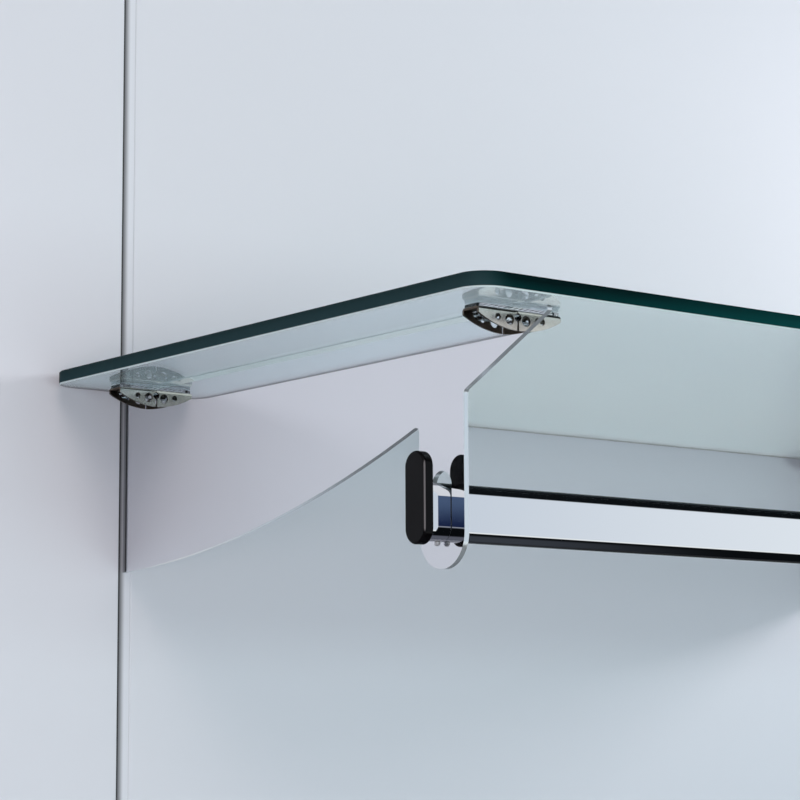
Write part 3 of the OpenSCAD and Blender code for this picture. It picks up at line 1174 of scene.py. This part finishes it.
@dataclass
class Studio:
    """Wall panels, floor, soft surroundings, lamps and camera."""

    panel_gap: float = 8.6 * MM
    arris: float = 0.4 * MM
    panel_top: float = 0.9
    floor_z: float = -0.75
    floor_half: float = 9.0
    span: float = 2.4
    eye: Triple = (-1.078903, -1.271934, -0.216029)
    yaw: float = 37.88
    pitch: float = 8.119
    roll: float = -0.307
    lens: float = 110.879
    sensor: float = 36.0
    sight: float = 60.0
    wall_colour: Triple = (0.72, 0.745, 0.82)
    floor_colour: Triple = (0.74, 0.75, 0.78)
    soft_light: Tint = Tint(("z", -1.0, 1.0), (0.24, 0.30, 0.33), (0.30, 0.36, 0.39))
    backdrop: Triple = (1.0, 1.0, 1.0)
    lamps: tuple[Lamp, ...] = (
        Lamp("key", (-1.2, -1.6, 1.5), (-0.2, 0.0, -0.05), (1.1, 1.1), 13, (1.0, 0.80, 0.70)),
        Lamp("low_left", (-1.3, -1.2, -0.35), (-0.35, 0.0, -0.1), (0.7, 0.5), 5.8, (1.0, 0.84, 0.81)),
        Lamp("front", (0.1, -2.0, -0.1), (0.1, 0.0, -0.1), (0.9, 0.6), 11.4, (0.83, 1.0, 0.95)),
        Lamp("right_edge", (1.1, -0.45, 0.3), (0.2, 0.0, 0.12), (0.35, 0.35), 1.5, (1.0, 0.93, 0.92), 76),
    )

    def staged(self, name: str, mesh: bpy.types.Mesh, look: bpy.types.Material) -> bpy.types.Object:
        """Makes a mesh an object of the studio, which isn't part of the shelf.

        Args:
            name: The object's name.
            mesh: Its mesh.
            look: Its material.

        Returns:
            The staged object.
        """
        mesh.materials.append(look)
        made = bpy.data.objects.new(name, mesh)
        bpy.context.scene.collection.objects.link(made)
        return made

    def sheet(self, name: str, points: np.ndarray, look: bpy.types.Material) -> bpy.types.Object:
        """Makes a staged strip whose outline (x, y) is carried from the floor to the panel top.

        Args:
            name: The object's name.
            points: Outline, (n, 2), walked from left to right so that its face looks to -Y.
            look: Its material.

        Returns:
            The staged object.
        """
        count = len(points)
        low = np.column_stack([points, np.full(count, self.floor_z)])
        high = np.column_stack([points, np.full(count, self.panel_top)])
        index = np.arange(count - 1)
        quads = np.column_stack([index, index + 1, index + 1 + count, index + count])
        mesh = bpy.data.meshes.new(name)
        mesh.from_pydata(np.vstack([low, high]), [], quads.tolist())
        return self.staged(name, mesh, look)

    def walls(self) -> None:
        """Makes two panels with eased edges that meet behind the left bracket, and the joint between them."""
        paint = StudioPaint("wall_paint", self.wall_colour).material()
        low, high = cad_box("bracket_plate_left")
        plate_x = (low + high)[0] / 2
        near, far = plate_x - self.panel_gap / 2, plate_x + self.panel_gap / 2
        # The joint is a flat strip; its paint holds the painted shade of a gap
        shade = JointPaint("joint_painted_shade", self.wall_colour, left=near, width=self.panel_gap).material()
        left = [[-self.span, 0], [near - self.arris, 0], [near, self.arris]]
        right = [[far, self.arris], [far + self.arris, 0], [self.span, 0]]
        self.sheet("panel_left", np.array(left), paint)
        self.sheet("panel_right", np.array(right), paint)
        self.sheet("joint", np.array([left[-1], right[0]]), shade)

    def floor(self) -> None:
        """Makes the pale floor, well below the shelf."""
        look = StudioPaint("floor_paint", self.floor_colour).material()
        corners = np.array([(-1, -1, 0), (1, -1, 0), (1, 1, 0), (-1, 1, 0)]) * self.floor_half
        mesh = bpy.data.meshes.new("floor")
        mesh.from_pydata(corners + (0, 0, self.floor_z), [], [(0, 1, 2, 3)])
        self.staged("floor", mesh, look).visible_glossy = False

    def surroundings(self) -> None:
        """Makes the world: soft pale light all round, and a dim room with screens for mirrored rays."""
        world = bpy.data.worlds.new("studio_room")
        bpy.context.scene.world = world
        world.use_nodes = True
        graph = Graph(world.node_tree)
        axes = graph.axes(graph.node("ShaderNodeTexCoord", output="Generated"))
        room = MirrorRoom().colour(graph, axes)
        plain = (graph.ray(Ray.SEEN) + graph.ray(Ray.THROUGH)).clipped()
        pale = graph.blend(plain, painted(graph, axes, self.soft_light), rgba(self.backdrop))
        mirrored = (graph.ray(Ray.GLOSSY) + graph.behind_glass()).clipped()
        colour = graph.blend(mirrored, pale, room)
        back = graph.node("ShaderNodeBackground", None, {"Color": colour, "Strength": 1.0})
        graph.node("ShaderNodeOutputWorld", None, {"Surface": back})

    def camera(self) -> None:
        """Makes the camera from its place, its heading and its roll.

        The heading is a unit vector turned by yaw from +Y to +X and raised by pitch, and roll turns
        the camera's right and up about it.
        """
        yaw, pitch, roll = (math.radians(angle) for angle in (self.yaw, self.pitch, self.roll))
        ahead = np.array([math.sin(yaw) * math.cos(pitch), math.cos(yaw) * math.cos(pitch), math.sin(pitch)])
        level = np.array([math.cos(yaw), -math.sin(yaw), 0])
        upright = np.cross(level, ahead)
        right = math.cos(roll) * level + math.sin(roll) * upright
        rise = math.cos(roll) * upright - math.sin(roll) * level
        turn = Matrix(np.column_stack([right, rise, -ahead]).tolist()).to_4x4()
        turn.translation = self.eye
        data = bpy.data.cameras.new("studio_camera")
        data.lens = self.lens
        data.sensor_width = self.sensor
        data.clip_end = self.sight
        made = bpy.data.objects.new("studio_camera", data)
        made.matrix_world = turn
        bpy.context.scene.collection.objects.link(made)
        bpy.context.scene.camera = made

    def build(self) -> None:
        """Makes the whole studio."""
        self.camera()
        self.walls()
        self.floor()
        self.surroundings()
        for lamp in self.lamps:
            lamp.build()
        bpy.context.scene.view_settings.view_transform = "Standard"


def main() -> None:
    """Builds the studio and every sub-assembly."""
    logging.basicConfig(level=logging.INFO, format="%(message)s")
    Studio().build()
    assemblies: list[SubAssembly] = [
        BracketPlates(MirrorChrome("polished_chrome", (0.80, 0.80, 0.83))),
        Carriers(NickelSheet("nickel_sheet", (0.83, 0.78, 0.69))),
        Pads(ClearPad("clear_pad", (0.86, 0.91, 0.92))),
        GlassShelf(FloatGlass("float_glass", (1.0, 1.0, 1.0))),
        HangingRail(MirrorChrome("chrome_tube", (0.84, 0.84, 0.86))),
        EndStops(BlackMoulding("black_plastic", (0.0014, 0.0012, 0.0016))),
        LockScrews(ScrewSteel("screw_steel", (0.88, 0.88, 0.90))),
    ]
    for assembly in assemblies:
        assembly.build()
        LOG.info("%s: %d pieces", type(assembly).__name__, len(assembly.made))


if __name__ == "__main__":
    main()
